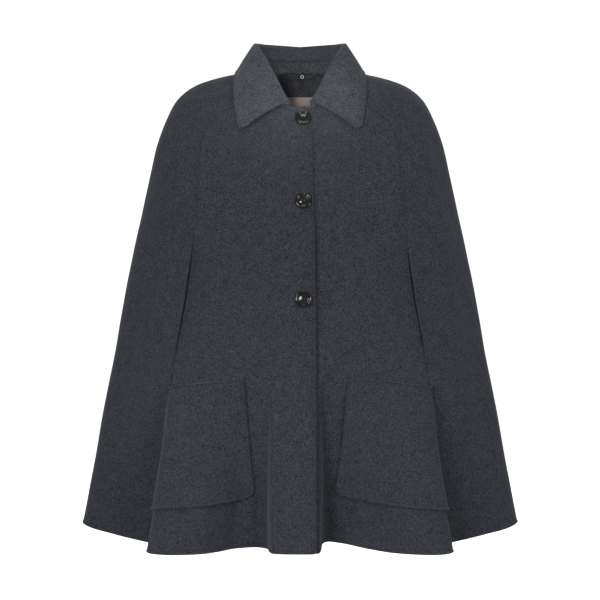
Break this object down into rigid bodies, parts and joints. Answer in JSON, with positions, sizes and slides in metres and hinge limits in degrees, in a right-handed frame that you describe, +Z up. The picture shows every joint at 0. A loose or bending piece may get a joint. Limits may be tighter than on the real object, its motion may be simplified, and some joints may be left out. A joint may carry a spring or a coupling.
{
  "type": "cape",
  "caption": "Hip-length hollow wool cape with raglan side panels, arm slits, a turned-down collar, front buttons and patch pockets.",
  "frame": {"origin": "middle of the neck at the level of the high shoulder points, where the wearer's neck and shoulders hold the cape", "axes": "+Z up, -Y towards the front of the garment, +X towards the wearer's left"},
  "size_m": [0.6816, 0.3752, 0.7806],
  "materials": {
    "wool": "brushed double-faced wool, charcoal blue-grey melange",
    "collar_wool": "brushed wool of the collar, a little lighter where its nap catches the light",
    "button_black": "polished black resin",
    "satin": "plain brownish-grey satin, bare",
    "fitting": "glossy black fitting"
  },
  "bodies": {
    "root": {"front_right": "wool", "front_left": "wool", "back": "wool", "wing_right": "wool", "wing_left": "wool", "collar_stand": "collar_wool", "collar_leaf": "collar_wool", "pocket_right": "wool", "pocket_left": "wool", "button_1": "button_black", "button_2": "button_black", "button_3": "button_black", "hanger_loop": "wool", "neck_stud": "fitting", "label": "satin"}
  },
  "joints": []
}
